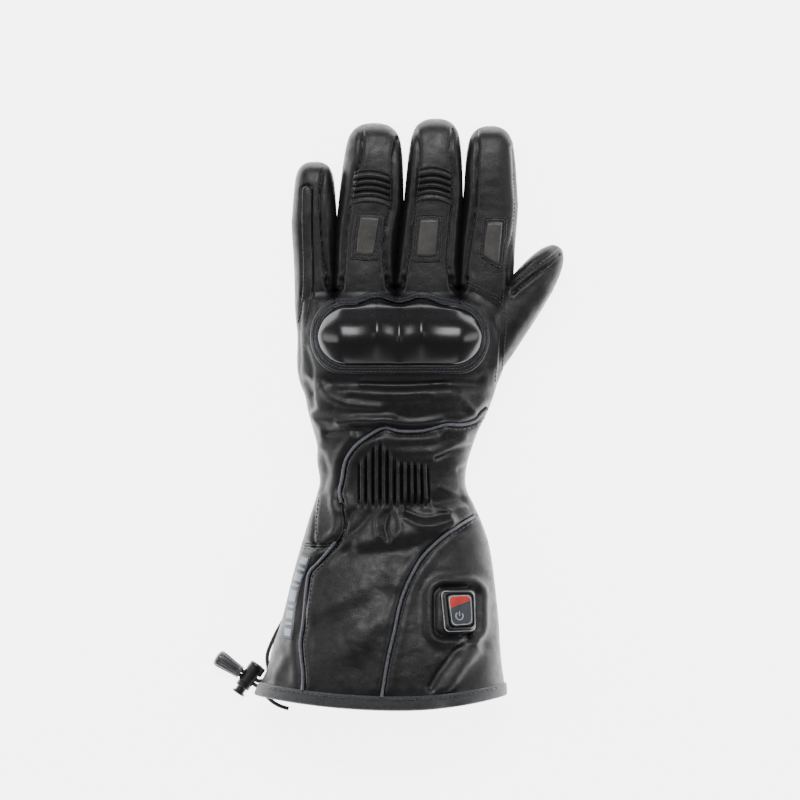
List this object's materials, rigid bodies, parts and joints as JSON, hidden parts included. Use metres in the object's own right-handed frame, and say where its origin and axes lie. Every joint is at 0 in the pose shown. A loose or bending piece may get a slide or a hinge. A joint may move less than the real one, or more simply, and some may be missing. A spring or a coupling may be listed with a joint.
{
  "type": "heated glove",
  "caption": "Padded leather gauntlet glove for the left hand with a hard knuckle guard, a heating button on the flared cuff and a drawcord at the hem.",
  "frame": {"origin": "middle of the palm's flat underside, on the surface that the glove lies on", "axes": "+X towards the thumb side, +Y towards the fingertips, +Z towards the back of the hand"},
  "size_m": [0.2023, 0.3429, 0.0568],
  "materials": {
    "leather": "smooth black aniline leather, fine grain, soft sheen",
    "leather_trim": "black leather trim, lightly textured",
    "guard_shell": "polished black thermoplastic",
    "piping": "dark grey woven piping and binding",
    "label_rubber": "moulded rubber strip, grey-blue on black",
    "moulded_plastic": "moulded black plastic",
    "button_lens": "red and dark grey button cap",
    "elastic_cord": "braided black elastic cord"
  },
  "bodies": {
    "glove": {"hand_back": "leather", "hand_palm": "leather", "little_finger": "leather", "ring_finger": "leather", "middle_finger": "leather", "index_finger": "leather", "thumb": "leather", "cuff_back": "leather", "cuff_flap": "leather", "cuff_side": "leather", "cuff_palm": "leather", "ring_ribs": "leather", "middle_ribs": "leather", "ring_pad_frame": "leather", "middle_pad_frame": "leather", "index_pad_frame": "leather", "guard_rim": "leather_trim", "ring_pad": "leather_trim", "middle_pad": "leather_trim", "index_pad": "leather_trim", "knuckle_guard": "guard_shell", "upper_piping": "piping", "side_piping": "piping", "lower_piping": "piping", "hem_binding": "piping", "side_label": "label_rubber", "button_bezel": "moulded_plastic", "cord_lock": "moulded_plastic", "cord_end": "moulded_plastic", "upper_drawcord": "elastic_cord", "lower_drawcord": "elastic_cord"},
    "plunger": {"lock_plunger": "moulded_plastic"},
    "button": {"heat_button": "button_lens"}
  },
  "joints": [
    {"name": "plunger_press", "type": "slide", "parent": "glove", "child": "plunger", "axis": [-0.5548, -0.832, 0], "range_m": [-0.0026, 0], "stiffness_N_per_m": 300, "springref_m": 0.002},
    {"name": "button_press", "type": "slide", "parent": "glove", "child": "button", "axis": [0.3103, 0.1821, 0.933], "range_m": [-0.0008, 0], "stiffness_N_per_m": 500, "springref_m": 0.0005}
  ]
}
